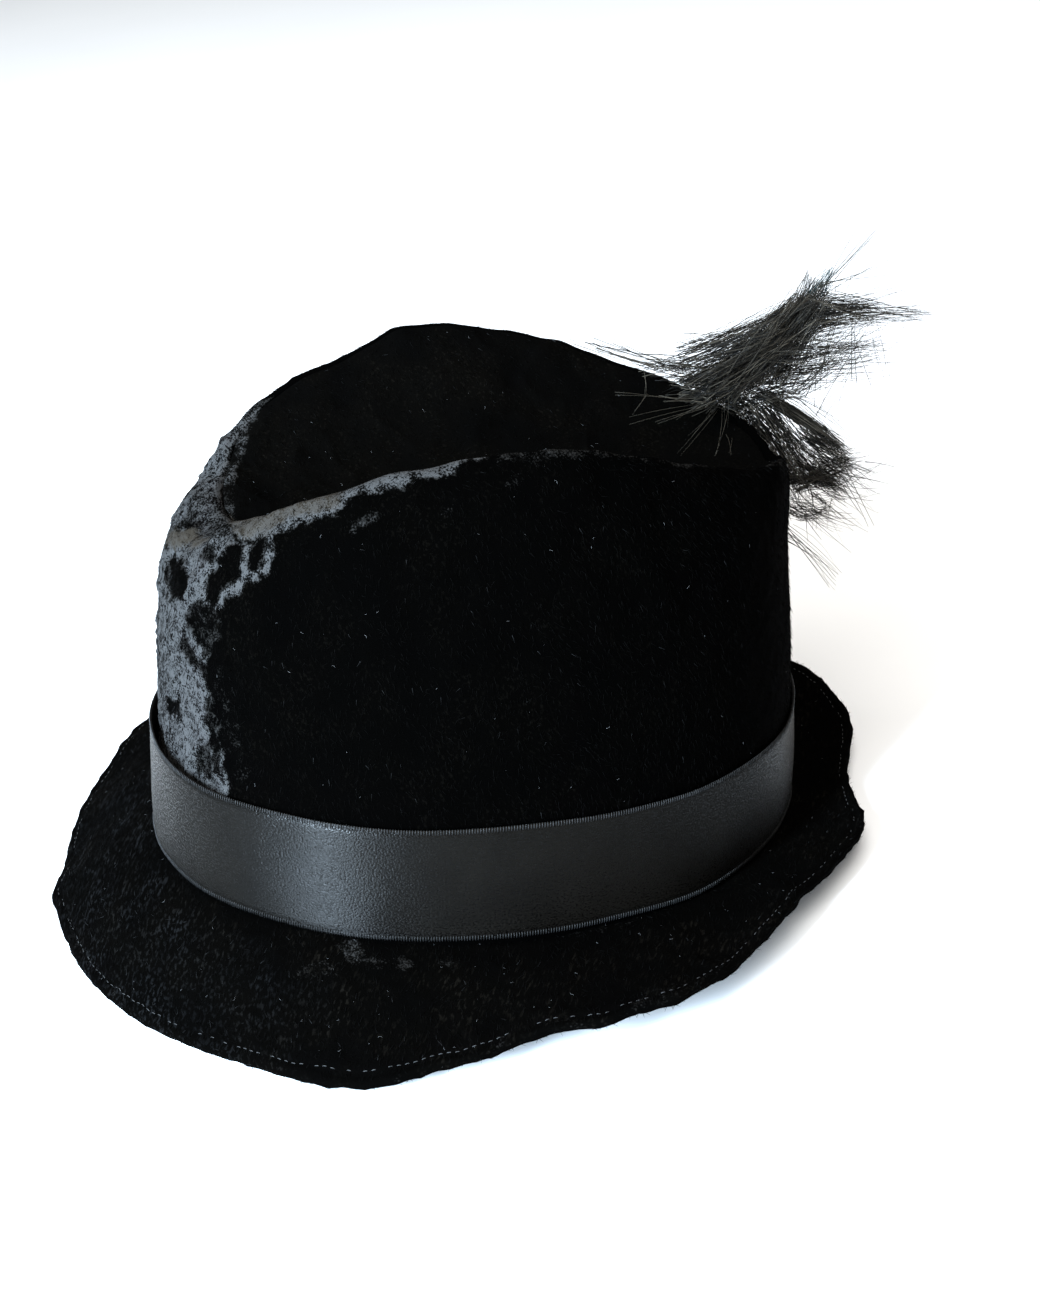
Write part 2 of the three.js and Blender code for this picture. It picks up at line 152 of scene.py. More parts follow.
# Dents and bulges that the photograph's outline shows: the middle of each, how far it reaches and the move.
NUDGES = (
    ((-26, -78, 106), 8, (0, 4.5, -1.0)),
    ((-54, -13, 132), 8, (0, 0, 3.0)),
    ((-55, 16, 134), 12, (0, 0, -1.4)),
    ((4, 94, 108), 11, (0, 0, -4.0)),
    ((33, 84, 107), 12, (0, 0.8, 3.4)),
    ((20, 91, 99), 9, (0, 1.6, 0)),
)

# How far from a rim of the crown's panels its neighbours are looked for.
SEAM_REACH = 9

# The hem of the brim: a turned edge with one line of stitches inside it.
HEM_WIDTH = 2.2
STITCH_LENGTH = 1.6
STITCH_GAP = 0.8
THREAD_RADIUS = 0.12
SHOWN_STITCHES = 0.75

# Pile that stands on the velvet as single fibres.
PILE_LENGTH = (1.3, 2.6)
PILE_RADIUS = 0.09
LINT_RADIUS = 0.035

# The satin ribbon.
RIBBON_WIDTH = 35
RIBBON_THICKNESS = 0.5
RIBBON_RISE = 1.5
RIBBON_COLUMNS = 480
RIBBON_ROWS = 14
PICOT_SPACING = 0.78
PICOT_LENGTH = 1.3
PICOT_OVERHANG = 0.35
PICOT_RADIUS = 0.13

# Where both tufts are tied, the thread round the tie, and the hairs: their radii and the points along each.
TIE = np.array([-24.1, 89.0, 115.7])
BINDING_RADIUS = 0.34
HAIR_RADII = (0.05, 0.16)
HAIR_STEPS = 6

random = np.random.default_rng(20)
HASH = np.random.default_rng(5).permutation(256)
GRADIENTS = np.random.default_rng(6).normal(size=(64, 3))
GRADIENTS /= np.linalg.norm(GRADIENTS, axis=1)[:, None]


# Numbers


def smoothstep(low, high, value):
    share = np.clip((value - low) / (high - low), 0, 1)
    return share * share * (3 - 2 * share)


def unit(vectors):
    length = np.linalg.norm(vectors, axis=-1, keepdims=True)
    return vectors / np.maximum(length, 1e-9)


def perlin(points, size, seed):
    """Smooth noise from about -1 to 1, whose bumps are about the given size."""
    scaled = np.asarray(points) / size + 17.31 * (seed + 1)
    cell = np.floor(scaled).astype(int)
    part = scaled - cell
    fade = part**3 * (part * (part * 6 - 15) + 10)
    total = np.zeros(len(scaled))
    for corner in np.ndindex(2, 2, 2):
        at = (cell + corner) % 256
        key = HASH[(HASH[(HASH[at[:, 0]] + at[:, 1]) % 256] + at[:, 2]) % 256]
        weight = np.prod(np.where(corner, fade, 1 - fade), axis=1)
        total += weight * np.einsum("ij,ij->i", GRADIENTS[key % 64], part - corner)
    return 1.6 * total


def depth_inside(pixels, outline):
    """How many pixels each point lies inside a closed outline, negative outside it."""
    corners = np.array(outline, dtype=float)
    inside = np.zeros(len(pixels), dtype=bool)
    nearest = np.full(len(pixels), np.inf)
    x, y = pixels.T
    for start, end in zip(corners, np.roll(corners, -1, axis=0)):
        span = end - start
        share = np.clip((pixels - start) @ span / (span @ span), 0, 1)
        away = pixels - start - share[:, None] * span
        nearest = np.minimum(nearest, np.hypot(away[:, 0], away[:, 1]))
        crosses = (start[1] > y) != (end[1] > y)
        if span[1]:
            inside ^= crosses & (x < start[0] + (y - start[1]) / span[1] * span[0])
    return np.where(inside, nearest, -nearest)


def sway(points, size, amount):
    """A smooth field of small moves, the same for every piece, so that neighbours keep their gaps."""
    return amount * np.stack([perlin(points, size, seed) for seed in (31, 32, 33)], -1)


def settled(points):
    """The moves of the cloth from where the CAD pieces lie, also the same for every piece."""
    outward = unit(points * [1, 1, 0.5])
    full = FULLNESS * smoothstep(45, 85, points[:, 2]) * smoothstep(60, 15, points[:, 1])
    at_front = np.exp(-((angle_of(points) / 32) ** 2)) * smoothstep(125, 110, reach_of(points))
    tucked = TUCK * at_front * smoothstep(80, 35, points[:, 2])
    lumps = smoothstep(55, 95, points[:, 2])[:, None] * sway(points + 40, 11, 0.75)
    moves = sway(points, 38, 0.8) + lumps + full[:, None] * outward + tucked[:, None] * [0, 1, 0]
    for middle, reach, move in NUDGES:
        near = np.exp(-np.sum((points - middle) ** 2, axis=1) / reach**2)
        moves += near[:, None] * move
    return moves


def creases(points, size, seed):
    """Noise from 0 to 1 with narrow folds where it is near 1."""
    return (1 - np.minimum(1, 2.2 * np.abs(perlin(points, size, seed)))) ** 2


# Frames


def read(items, name, width=3, kind=float):
    """One property of all the items of a mesh, as rows of the given width."""
    values = np.zeros(len(items) * width, dtype=kind)
    items.foreach_get(name, values)
    return values.reshape(-1, width)


def vertices_of(node):
    return read(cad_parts[node].data.vertices, "co")


LEAN = np.array(
    Matrix.Rotation(math.radians(-REST_PITCH), 3, "X") @ Matrix.Rotation(math.radians(-REST_ROLL), 3, "Y")
)


def own_origin():
    """The middle of the sewing line in the turned row frame."""
    walls = np.vstack([vertices_of("crown_left"), vertices_of("crown_right")]) / MM @ LEAN
    foot = walls[walls[:, 2] < walls[:, 2].min() + 2]
    ribbon = vertices_of("ribbon") / MM @ LEAN
    middle = (foot.min(axis=0) + foot.max(axis=0)) / 2
    return np.array([middle[0], middle[1], ribbon[:, 2].min() - RIBBON_LIFT])


ORIGIN = own_origin()


def to_own(points):
    return np.asarray(points) / MM @ LEAN - ORIGIN


def to_row(points):
    placed = (np.asarray(points) + ORIGIN) @ LEAN.T * MM
    placed[..., 2] = np.maximum(placed[..., 2], 0.0)
    return placed


def angle_of(points):
    """Degrees round the crown, from the front over the wearer's left."""
    return np.degrees(np.arctan2(points[..., 0], -points[..., 1]))


def reach_of(points):
    """How far points are from the hat's upright middle line."""
    return np.hypot(points[..., 0], points[..., 1])


# Meshes


def link(obj):
    bpy.context.scene.collection.objects.link(obj)
    return obj


def mesh_piece(name, points, faces, materials, smooth=True):
    """A new piece in the row frame, riding on its one body, from points in the hat's own frame."""
    mesh = bpy.data.meshes.new(name)
    mesh.from_pydata(to_row(points).tolist(), [], [list(face) for face in faces])
    mesh.polygons.foreach_set("use_smooth", [smooth] * len(mesh.polygons))
    for material in materials:
        mesh.materials.append(material)
    mesh.update()
    piece = link(bpy.data.objects.new(name, mesh))
    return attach(piece, "root")


def set_attribute(mesh, name, values):
    attribute = mesh.attributes.new(name, "FLOAT", "POINT")
    attribute.data.foreach_set("value", np.asarray(values, dtype=np.float32))


def dense_copy(node):
    """A smooth, finely divided copy of a CAD node, in the hat's own frame: points, outward normals, faces.

    Subdivision pulls a surface in from its corners, so the corners are first pushed out until the smooth
    surface passes through where they were.
    """
    build = bmesh.new()
    build.from_mesh(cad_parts[node].data)
    bmesh.ops.remove_doubles(build, verts=build.verts, dist=2e-5)
    bmesh.ops.join_triangles(
        build,
        faces=build.faces,
        angle_face_threshold=math.radians(50),
        angle_shape_threshold=math.radians(60),
    )
    wanted = np.array([list(v.co) for v in build.verts])
    rough = bpy.data.meshes.new(node + "_rough")
    rough.from_pydata(wanted.tolist(), [], [[v.index for v in f.verts] for f in build.faces])
    build.free()
    helper = link(bpy.data.objects.new(node + "_rough", rough))
    divide = helper.modifiers.new("divide", "SUBSURF")
    control = wanted.copy()
    divide.levels = 1
    for _ in range(PUSHES):
        reached = read(evaluated(helper).vertices, "co")[: len(wanted)]
        control += PUSH_SHARE * (wanted - reached)
        rough.vertices.foreach_set("co", control.ravel())
        rough.update()
    divide.levels = VELVET_LEVELS
    dense = evaluated(helper)
    points, normals = read(dense.vertices, "co"), read(dense.vertex_normals, "vector")
    faces = read(dense.loops, "vertex_index", 1, int).reshape(-1, 4)
    bpy.data.objects.remove(helper)
    bpy.data.meshes.remove(rough)
    return to_own(points), normals @ LEAN, faces


def evaluated(helper):
    seen = helper.evaluated_get(bpy.context.evaluated_depsgraph_get())
    return bpy.data.meshes.new_from_object(seen)


def tubes(paths, radii, sides):
    """Closed thin tubes along many paths: paths is (tubes, points, 3) and radii (tubes, points)."""
    count, steps = paths.shape[:2]
    along = unit(np.gradient(paths, axis=1))
    helper = unit(random.normal(size=(count, 1, 3)) + 0 * along)
    side = unit(np.cross(along, helper))
    other = np.cross(along, side)
    turns = 2 * np.pi * np.arange(sides) / sides
    ring = side[:, :, None] * np.cos(turns)[:, None] + other[:, :, None] * np.sin(turns)[:, None]
    points = paths[:, :, None] + radii[:, :, None, None] * ring
    base = (np.arange(count) * steps * sides)[:, None]
    index = np.arange(sides)
    after = (index + 1) % sides
    faces = []
    for step in range(steps - 1):
        low, high = step * sides, (step + 1) * sides
        quads = np.stack([low + index, low + after, high + after, high + index], -1)
        faces.append((base[:, :, None] + quads).reshape(-1, 4))
    faces = [list(face) for face in np.concatenate(faces)]
    for start in base[:, 0]:
        faces.append((start + index[::-1]).tolist())
        faces.append((start + (steps - 1) * sides + index).tolist())
    return points.reshape(-1, 3), faces


def tube_piece(name, paths, radii, material, sides=3):
    points, faces = tubes(paths, radii, sides)
    return mesh_piece(name, points, faces, [material])


def spikes(roots, tips, radius):
    """Closed four-faced spikes from roots to tips."""
    along = unit(tips - roots)
    side = unit(np.cross(along, random.normal(size=roots.shape)))
    other = np.cross(along, side)
    corners = []
    for turn in (0, 120, 240):
        swing = math.radians(turn)
        corners.append(roots + radius * (side * math.cos(swing) + other * math.sin(swing)))
    points = np.stack([*corners, tips], 1)
    base = 4 * np.arange(len(roots))[:, None, None]
    faces = base + np.array([[2, 1, 0], [0, 1, 3], [1, 2, 3], [2, 0, 3]])
    return points.reshape(-1, 3), faces.reshape(-1, 3)


# Materials


class Look:
    """A material under construction, with short calls for its nodes."""

    def __init__(self, name):
        self.material = bpy.data.materials.new(name)
        self.material.use_nodes = True
        self.nodes = self.material.node_tree.nodes
        self.links = self.material.node_tree.links
        self.shader = self.nodes["Principled BSDF"]
        self.place = self.nodes.new("ShaderNodeTexCoord").outputs["Object"]

    def put(self, socket, value):
        if isinstance(value, bpy.types.NodeSocket):
            self.links.new(value, socket)
        else:
            socket.default_value = value

    def set(self, **values):
        for name, value in values.items():
            self.put(self.shader.inputs[name.replace("_", " ")], value)

    def node(self, kind, output, inputs, **settings):
        """Adds a node, sets it up and returns one of its outputs."""
        made = self.nodes.new("ShaderNode" + kind)
        for name, value in settings.items():
            setattr(made, name, value)
        for name, value in inputs.items():
            self.put(made.inputs[name], value)
        return made.outputs[output]

    def attribute(self, name):
        return self.node("Attribute", "Fac", {}, attribute_name=name)

    def math(self, operation, first, second):
        return self.node("Math", "Value", {0: first, 1: second}, operation=operation)

    def plus(self, base, noise, weight, middle=0.5):
        """base, with noise added whose middle counts as nothing."""
        return self.math("ADD", base, self.math("MULTIPLY", self.math("SUBTRACT", noise, middle), weight))

    def ramp(self, value, low, high, to_low=0.0, to_high=1.0):
        limits = {"From Min": low, "From Max": high, "To Min": to_low, "To Max": to_high}
        return self.node("MapRange", "Result", {"Value": value, **limits}, interpolation_type="SMOOTHSTEP")

    def noise(self, size, detail, stretch=None, turn=(0, 0, 0)):
        """Noise of about the given size in millimetres, if need be stretched along turned axes."""
        place = self.place
        if stretch:
            angles = [math.radians(angle) for angle in turn]
            spread = {"Vector": place, "Scale": stretch, "Rotation": angles}
            place = self.node("Mapping", "Vector", spread, vector_type="TEXTURE")
        return self.node("TexNoise", "Fac", {"Scale": 1 / (size * MM), "Detail": detail, "Vector": place})

    def mix(self, share, first, second):
        made = self.nodes.new("ShaderNodeMix")
        made.data_type = "RGBA"
        self.put(made.inputs["Factor"], share)
        colours = [s for s in made.inputs if s.type == "RGBA"]
        self.put(colours[0], first)
        self.put(colours[1], second)
        return next(s for s in made.outputs if s.type == "RGBA")

    def bump(self, height, distance, strength, below=None):
        inputs = {"Distance": distance * MM, "Strength": strength, "Height": height}
        if below:
            inputs["Normal"] = below
        return self.node("Bump", "Normal", inputs)


def grey(level, blue=0.0):
    return (level, level * (1 + 0.4 * blue), level * (1 + blue), 1)


def velvet_look(name, stretch, turn, dark, light):
    """Near-black pile, mottled pale where the pile is crushed and where a painted sheen lies, as an attribute
    says.

    stretch and turn lay the strokes of the nap. dark is the grey of the pile and light that of its strokes.
    """
    look = Look(name)
    sheen_and_wear = look.attribute("sheen_and_wear")
    bare = look.attribute("bare")
    patches = look.noise(4.5, 3)
    mottle = look.noise(2.2, 3)
    grain = look.noise(0.55, 2)
    strokes = look.noise(0.9, 2, stretch, turn)
    cloud = look.noise(16, 3)
    ragged = look.plus(look.plus(look.plus(sheen_and_wear, patches, 0.9), mottle, 0.9), grain, 1.3)
    # The pale colour below: partly crushed pile, partly a painted sheen.
    crushed = look.math("MULTIPLY", look.ramp(ragged, 0.36, 0.78), look.ramp(sheen_and_wear, 0.02, 0.2))
    specks = look.plus(look.plus(look.plus(grain, mottle, 0.8), patches, 0.6), sheen_and_wear, 0.4, 0.9)
    pale = look.mix(look.ramp(specks, 0.36, 0.6), grey(0.0013, -0.1), grey(0.030, 0.0))
    pale = look.mix(look.ramp(sheen_and_wear, 0.35, 0.95), grey(0.0065, -0.1), pale)
    pale = look.mix(look.math("MULTIPLY", bare, 0.85), pale, (0.0175, 0.0145, 0.011, 1))
    # Lighter brushed strokes on the brim's front-left: partly brushed nap, partly a painted sheen.
    brushed_and_sheen = look.attribute("brushed_and_sheen")
    lit = look.math("MULTIPLY", look.ramp(strokes, 0.54, 0.74), look.ramp(cloud, 0.4, 0.65))
    pile = look.mix(lit, look.mix(cloud, grey(0.5 * dark, 0.3), grey(1.5 * dark, -0.4)), grey(light, -0.3))
    pile = look.mix(look.math("MULTIPLY", brushed_and_sheen, look.ramp(strokes, 0.5, 0.7)), pile, grey(0.0045, 0.15))
    look.set(
        Base_Color=look.mix(look.math("MAXIMUM", crushed, look.ramp(bare, 0.5, 0.9)), pile, pale),
        Roughness=look.ramp(crushed, 0, 1, 0.95, 0.6),
        Specular_IOR_Level=0.1,
        IOR=1.1,
    )
    soft = look.bump(patches, 0.5, 0.4)
    look.set(Normal=look.bump(grain, 0.22, 0.7, soft))
    return look.material


def pile_look():
    """Single fibres of the pile, mostly black, some painted lighter as glints that catch the light."""
    look = Look("velvet_pile")
    look.set(
        Base_Color=look.mix(look.attribute("tone"), grey(0.0005, -0.3), grey(0.011, 0.05)),
        Roughness=0.8,
        Specular_IOR_Level=0.1,
        IOR=1.1,
    )
    return look.material


def satin_look():
    """Black satin: threads along the ribbon, so that a highlight stands upright across it."""
    look = Look("satin")
    place = look.node("CombineXYZ", "Vector", {"X": look.attribute("along"), "Y": look.attribute("across")})

    def weave(length, width):
        """Noise as long and wide as this, in millimetres along and across the ribbon."""
        spread = look.node("Mapping", "Vector", {"Vector": place, "Scale": (1 / length, 1 / width, 1)})
        return look.node("TexNoise", "Fac", {"Vector": spread, "Scale": 1.0, "Detail": 1.0})

    weft = weave(2.6, 0.45)
    specks = weave(0.66, 0.5)
    tone = look.noise(24, 2)
    shade = look.plus(look.ramp(specks, 0.35, 0.75), look.ramp(tone, 0.3, 0.7), 0.45, 0.0)
    gloss = look.math("ADD", look.math("MULTIPLY", specks, 0.7), look.math("MULTIPLY", weft, 0.3))
    look.set(
        Base_Color=look.mix(look.math("MULTIPLY", shade, 0.6), grey(0.0003, -0.3), grey(0.0034, -0.3)),
        Roughness=look.ramp(gloss, 0.4, 0.6, 0.26, 0.6),
        Specular_IOR_Level=0.095,
        Anisotropic=0.95,
        Anisotropic_Rotation=0.25,
        Tangent=look.node("Tangent", "Tangent", {}, direction_type="RADIAL", axis="Z"),
    )
    look.set(Normal=look.bump(specks, 0.13, 1.0, look.bump(weft, 0.05, 0.8)))
    return look.material


def fibrous_look(name, threads, tone, greys, roughness, specular, depth, ior=1.5):
    """A plain material with fine threads. tone is the noise that mixes its two greys, depth the bump's."""
    look = Look(name)
    threads = look.noise(*threads)
    look.set(
        Base_Color=look.mix(look.noise(*tone) if tone else threads, *greys),
        Roughness=roughness,
        Specular_IOR_Level=specular,
        IOR=ior,
        Normal=look.bump(threads, *depth),
    )
    return look.material


def thread_look(name, dark, light, roughness):
    return fibrous_look(name, (0.5, 1), None, (grey(dark), grey(light, 0.05)), roughness, 0.3, (0.1, 0.5))


def bristle_look():
    """Coarse glossy bristles, each of its own grey, a few of them teal."""
    look = Look("bristle")
    greys = look.mix(look.attribute("tone"), grey(0.0008, -0.4), grey(0.095, -0.35))
    look.set(
        Base_Color=look.mix(look.attribute("teal"), greys, (0.008, 0.024, 0.026, 1)),
        Roughness=0.45,
        Specular_IOR_Level=0.1,
    )
    return look.material


def floor_look():
    look = Look("floor")
    cloud = look.noise(180, 2)
    look.set(Base_Color=look.mix(cloud, grey(0.70), grey(0.74)), Roughness=0.75, Specular_IOR_Level=0.2)
    return look.material


# The tip and brim velvets take lighter greys than the side walls' velvet: painted light on what faces up. The
# brim's also lays its nap its own way.
VELVET = velvet_look("velvet", (1, 1, 1.8), (20, 0, 20), 0.00015, 0.001)
TIP_VELVET_PAINTED_LIGHTER = velvet_look("velvet_tip_painted_lighter", (1, 1, 1.8), (20, 0, 20), 0.0006, 0.0022)
BRIM_VELVET_PAINTED_LIGHTER = velvet_look("velvet_brim_painted_lighter", (1, 4.5, 1), (0, 0, 60), 0.0004, 0.003)
# The plain woven back of the velvet, which shows inside the crown.
VELVET_BACK = fibrous_look(
    "velvet_back", (0.6, 1, (1, 1, 3)), (14, 3), (grey(0.004), grey(0.008)), 0.9, 0.15, (0.15, 0.6)
)
PILE = pile_look()
SATIN = satin_look()
PICOT = thread_look("satin_edge", 0.003, 0.015, 0.5)
STITCH = thread_look("thread", 0.003, 0.028, 0.6)
BINDING = thread_look("binding_thread", 0.003, 0.012, 0.5)
LINT = thread_look("lint", 0.02, 0.11, 0.7)
BRISTLE = bristle_look()
QUILL = fibrous_look(
    "quill", (0.8, 2, (1, 1, 10)), None, (grey(0.001), grey(0.005)), 0.8, 0.1, (0.1, 0.5), 1.1
)


# The camera


def towards(azimuth, elevation):
    """The direction at so many degrees round from the hat's front and up."""
    turn, rise = math.radians(azimuth), math.radians(elevation)
    return Vector((math.sin(turn) * math.cos(rise), -math.cos(turn) * math.cos(rise), math.sin(rise)))


def camera_axes():
    """The camera's right, up and backward directions in the row frame."""
    back = towards(CAMERA_AZIMUTH, CAMERA_ELEVATION)
    roll = math.radians(CAMERA_ROLL)
    level_right = Vector((0, 0, 1)).cross(back).normalized()
    level_up = back.cross(level_right)
    right = level_right * math.cos(roll) + level_up * math.sin(roll)
    return right, back.cross(right), back


def make_camera():
    right, up, back = camera_axes()
    data = bpy.data.cameras.new("camera")
    data.lens = CAMERA_LENS
    data.shift_x, data.shift_y = CAMERA_SHIFT
    camera = link(bpy.data.objects.new("camera", data))
    camera.matrix_world = Matrix.Translation(CAMERA_PLACE) @ Matrix((right, up, back)).transposed().to_4x4()
    bpy.context.scene.camera = camera


# The focal length and the middle of the view, in pixels of the photograph.
FOCAL = CAMERA_LENS / SENSOR * PHOTO_SIZE[1]
MIDDLE = np.array(PHOTO_SIZE) / 2 + np.array([-1, 1]) * CAMERA_SHIFT * PHOTO_SIZE[1]


def pixels_of(points):
    """Where points of the hat's own frame are seen, in pixels of the photograph."""
    right, up, back = (np.array(axis) for axis in camera_axes())
    away = (points + ORIGIN) @ LEAN.T * MM - CAMERA_PLACE
    depth = -(away @ back)
    return MIDDLE + FOCAL / depth[:, None] * np.stack([away @ right, -(away @ up)], -1)


def on_plane(x, y, plane):
    """The points seen at pixels x, y of the photograph, on upright planes at own-frame X of plane."""
    right, up, back = (np.array(axis) @ LEAN for axis in camera_axes())
    eye = to_own([CAMERA_PLACE])[0]
    ray = right * ((x - MIDDLE[0]) / FOCAL)[:, None] + up * ((MIDDLE[1] - y) / FOCAL)[:, None] - back
    return eye + ray * ((plane - eye[0]) / ray[:, 0])[:, None]


# Velvet


def marked(points, normals, outlines):
    """How far outlines drawn in the photograph mark the points, from 0 to 1, on what faces the camera."""
    eye = to_own([CAMERA_PLACE])[0]
    seen = np.einsum("ij,ij->i", normals, unit(eye - points)) > -0.25
    near = np.flatnonzero(seen)
    pixels = pixels_of(points[near])
    ragged = 5 * perlin(points[near], 4.5, 8) + 3.5 * perlin(points[near], 1.7, 9)
    total = np.zeros(len(points))
    for strength, outline in outlines:
        cover = strength * smoothstep(-4, 4, depth_inside(pixels, outline) + ragged)
        total[near] = np.maximum(total[near], cover)
    return total


def distance_to(line, points):
    """How far each point is from the nearest point of a line."""
    tree = kdtree.KDTree(len(line))
    for index, place in enumerate(line):
        tree.insert(place, index)
    tree.balance()
    return np.array([tree.find(point)[2] for point in points])


def front_crush_and_sheen(points, normals):
    """Where the pile at the front is crushed, and painted with a sheen on what faces forward and up towards
    the light: a band on each side of the pinch, on what faces forward.
    """
    height = points[:, 2]
    reach = np.interp(height, FRONT_HEIGHTS, FRONT_REACHES)
    reach = reach + 6 * perlin(points, 17, 1) + 3 * perlin(points, 5, 2)
    round_it = smoothstep(-3, 4, reach - np.abs(angle_of(points)))
    # Faces turned to the front and up, towards the light, take the painted sheen.
    forward = normals @ unit(np.array([0, -0.9, 0.45]))
    return round_it * smoothstep(0.1, 0.5, forward)


def wall_out(points):
    """The direction that faces away from the head, for points of the crown's side panels."""
    x, y = points[:, 0], points[:, 1]
    return unit(np.stack([x / 85**2, y / 102**2, 0 * x], -1) + 0.15 * UP / 90)


def relief(points, crushed, size, seed):
    """How far the cloth stands proud, from folds, pits and pile."""
    folds = (0.35 + 0.75 * crushed) * (creases(points, size, seed) - 0.35)
    pits = -1.0 * crushed * smoothstep(0.25, 0.6, perlin(points, 6.5, seed + 1))
    pile = 0.10 * perlin(points, 2.2, seed + 2) + 0.05 * perlin(points, 1.2, seed + 3)
    return folds + pits + pile


def velvet_piece(node, material, points, faces, inner, attributes):
    """Makes the piece from finished points. inner marks the points on the side that faces the head."""
    piece = mesh_piece(node + "_velvet", points, faces, [material, VELVET_BACK])
    for attribute, values in attributes.items():
        set_attribute(piece.data, attribute, values)
    plain = inner[faces].mean(axis=1) > 0.9
    piece.data.polygons.foreach_set("material_index", plain.astype(int))
    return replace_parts(piece, node)


def tree_of(surface):
    """A search tree of a surface, which is given as points, normals and faces."""
    return BVHTree.FromPolygons(surface[0].tolist(), surface[2].tolist())


def to_neighbours(node, copies):
    """From each point of a piece of the crown to the nearest point of the others, and how far that is."""
    points = copies[node][0]
    way = np.zeros(points.shape)
    away = np.full(len(points), float(SEAM_REACH))
    for other in copies:
        if other == node:
            continue
        tree = tree_of(copies[other])
        for index, point in enumerate(points):
            found, _, _, length = tree.find_nearest(point, away[index])
            if found is not None:
                way[index], away[index] = np.array(found) - point, length
    return way, away


def sewn(node, copies, lift):
    """The points of a piece of the crown with its rims drawn to its neighbours, and how far those were."""
    way, away = to_neighbours(node, copies)
    points = copies[node][0]
    drawn = 0.49 * smoothstep(3.2, 0.9, away)[:, None] * way
    return points + lift * smoothstep(0.6, 4, away)[:, None] + drawn + settled(points), away


def crown_wear_and_sheen(points, normals, outer, rim, hidden_share):
    """The attributes of a piece of the crown: its pale marks, partly crushed pile and partly a painted sheen,
    and where it is bare.

    outer is 1 on what may be pale at all, rim is 1 on what may be pale along the ridges, and hidden_share is
    how strong the crush and painted sheen are at the front where the camera doesn't see it.
    """
    ridges = marked(points, normals, (CRUSHED_SHEEN_FRONT, CRUSHED_SHEEN_RIDGE, *RUBBED_AND_SHEEN)) * rim
    zones = np.maximum(ridges, marked(points, normals, (CRUSHED_SHEEN_HIGH,)))
    zones *= 1 - marked(points, normals, DARK_ISLANDS)
    # On the front that the camera doesn't see, the same crush and painted sheen.
    unseen_crush_and_sheen = front_crush_and_sheen(points, normals) * smoothstep(0, -12, angle_of(points)) * (angle_of(points) > -90)
    return {
        "sheen_and_wear": np.maximum(zones, hidden_share * unseen_crush_and_sheen) * outer,
        "bare": marked(points, normals, BARE) * outer * rim,
    }


def crown_panel(node, copies):
    points, normals, faces = copies[node]
    facing = np.einsum("ij,ij->i", normals, wall_out(points))
    side = np.where(facing > 0, 1.0, -1.0)
    calm = smoothstep(0.15, 0.6, np.abs(facing))
    rough = front_crush_and_sheen(points, normals * side[:, None])
    height = side * calm * relief(points, rough, 10, 10)
    moved, away = sewn(node, copies, normals * height[:, None])
    wear_and_sheen = crown_wear_and_sheen(points, normals, (facing > -0.1) | (away < 3), 1, 0.95)
    return velvet_piece(node, VELVET, moved, faces, (facing < -0.5) & (away > 5), wear_and_sheen)


def crown_tip(copies):
    points, normals, faces = copies["crown_tip"]
    side = np.where(normals[:, 2] > 0, 1.0, -1.0)
    height = side * smoothstep(0.1, 0.4, np.abs(normals[:, 2])) * relief(points, 0.3, 13, 20)
    moved, away = sewn("crown_tip", copies, normals * height[:, None])
    wear_and_sheen = crown_wear_and_sheen(points, normals, smoothstep(8, 6, away), smoothstep(2.6, 1.2, away), 0)
    return velvet_piece("crown_tip", TIP_VELVET_PAINTED_LIGHTER, moved, faces, (normals[:, 2] < -0.5) & (away > 3), wear_and_sheen)


def brim_edge():
    """The outer edge of the brim as a closed fine line, from the CAD node."""
    points = to_own(vertices_of("brim"))
    turns, reach = angle_of(points), reach_of(points)
    line = []
    for turn in np.arange(-180, 180, 5):
        gap = np.abs((turns - turn + 180) % 360 - 180)
        near = np.flatnonzero(gap < 2.6)
        outer = near[reach[near] > reach[near].max() - 1.5]
        line.append(points[outer].mean(axis=0))
    line = np.array(line + line[:1])
    shares = np.arange(0, 1, 0.05)[:, None]
    return np.concatenate([a + (b - a) * shares for a, b in zip(line, line[1:])])


def brushed_and_sheen_part(points):
    """Where the nap of the brim is brushed up, at the left front, in clumps, and lighter there: partly the
    brushed nap, partly a painted sheen on the side the light falls on.
    """
    turn = angle_of(points)
    place = smoothstep(-45, -15, turn) * smoothstep(62, 32, turn) * smoothstep(100, 112, reach_of(points))
    return place * (0.25 + 0.75 * smoothstep(-0.2, 0.6, perlin(points, 12, 47)))


def loosened(points, near_edge):
    """The brim's moves from where the CAD piece lies: its ragged, wavy edge and the settled cloth."""
    pushed = np.interp(angle_of(points), EDGE_TURNS, EDGE_PUSHES) + 0.4 * perlin(points, 5, 45)
    moves = perlin(points, 26, 43)[:, None] * UP + pushed[:, None] * unit(points * [1, 1, 0])
    return points + near_edge[:, None] * moves + settled(points)


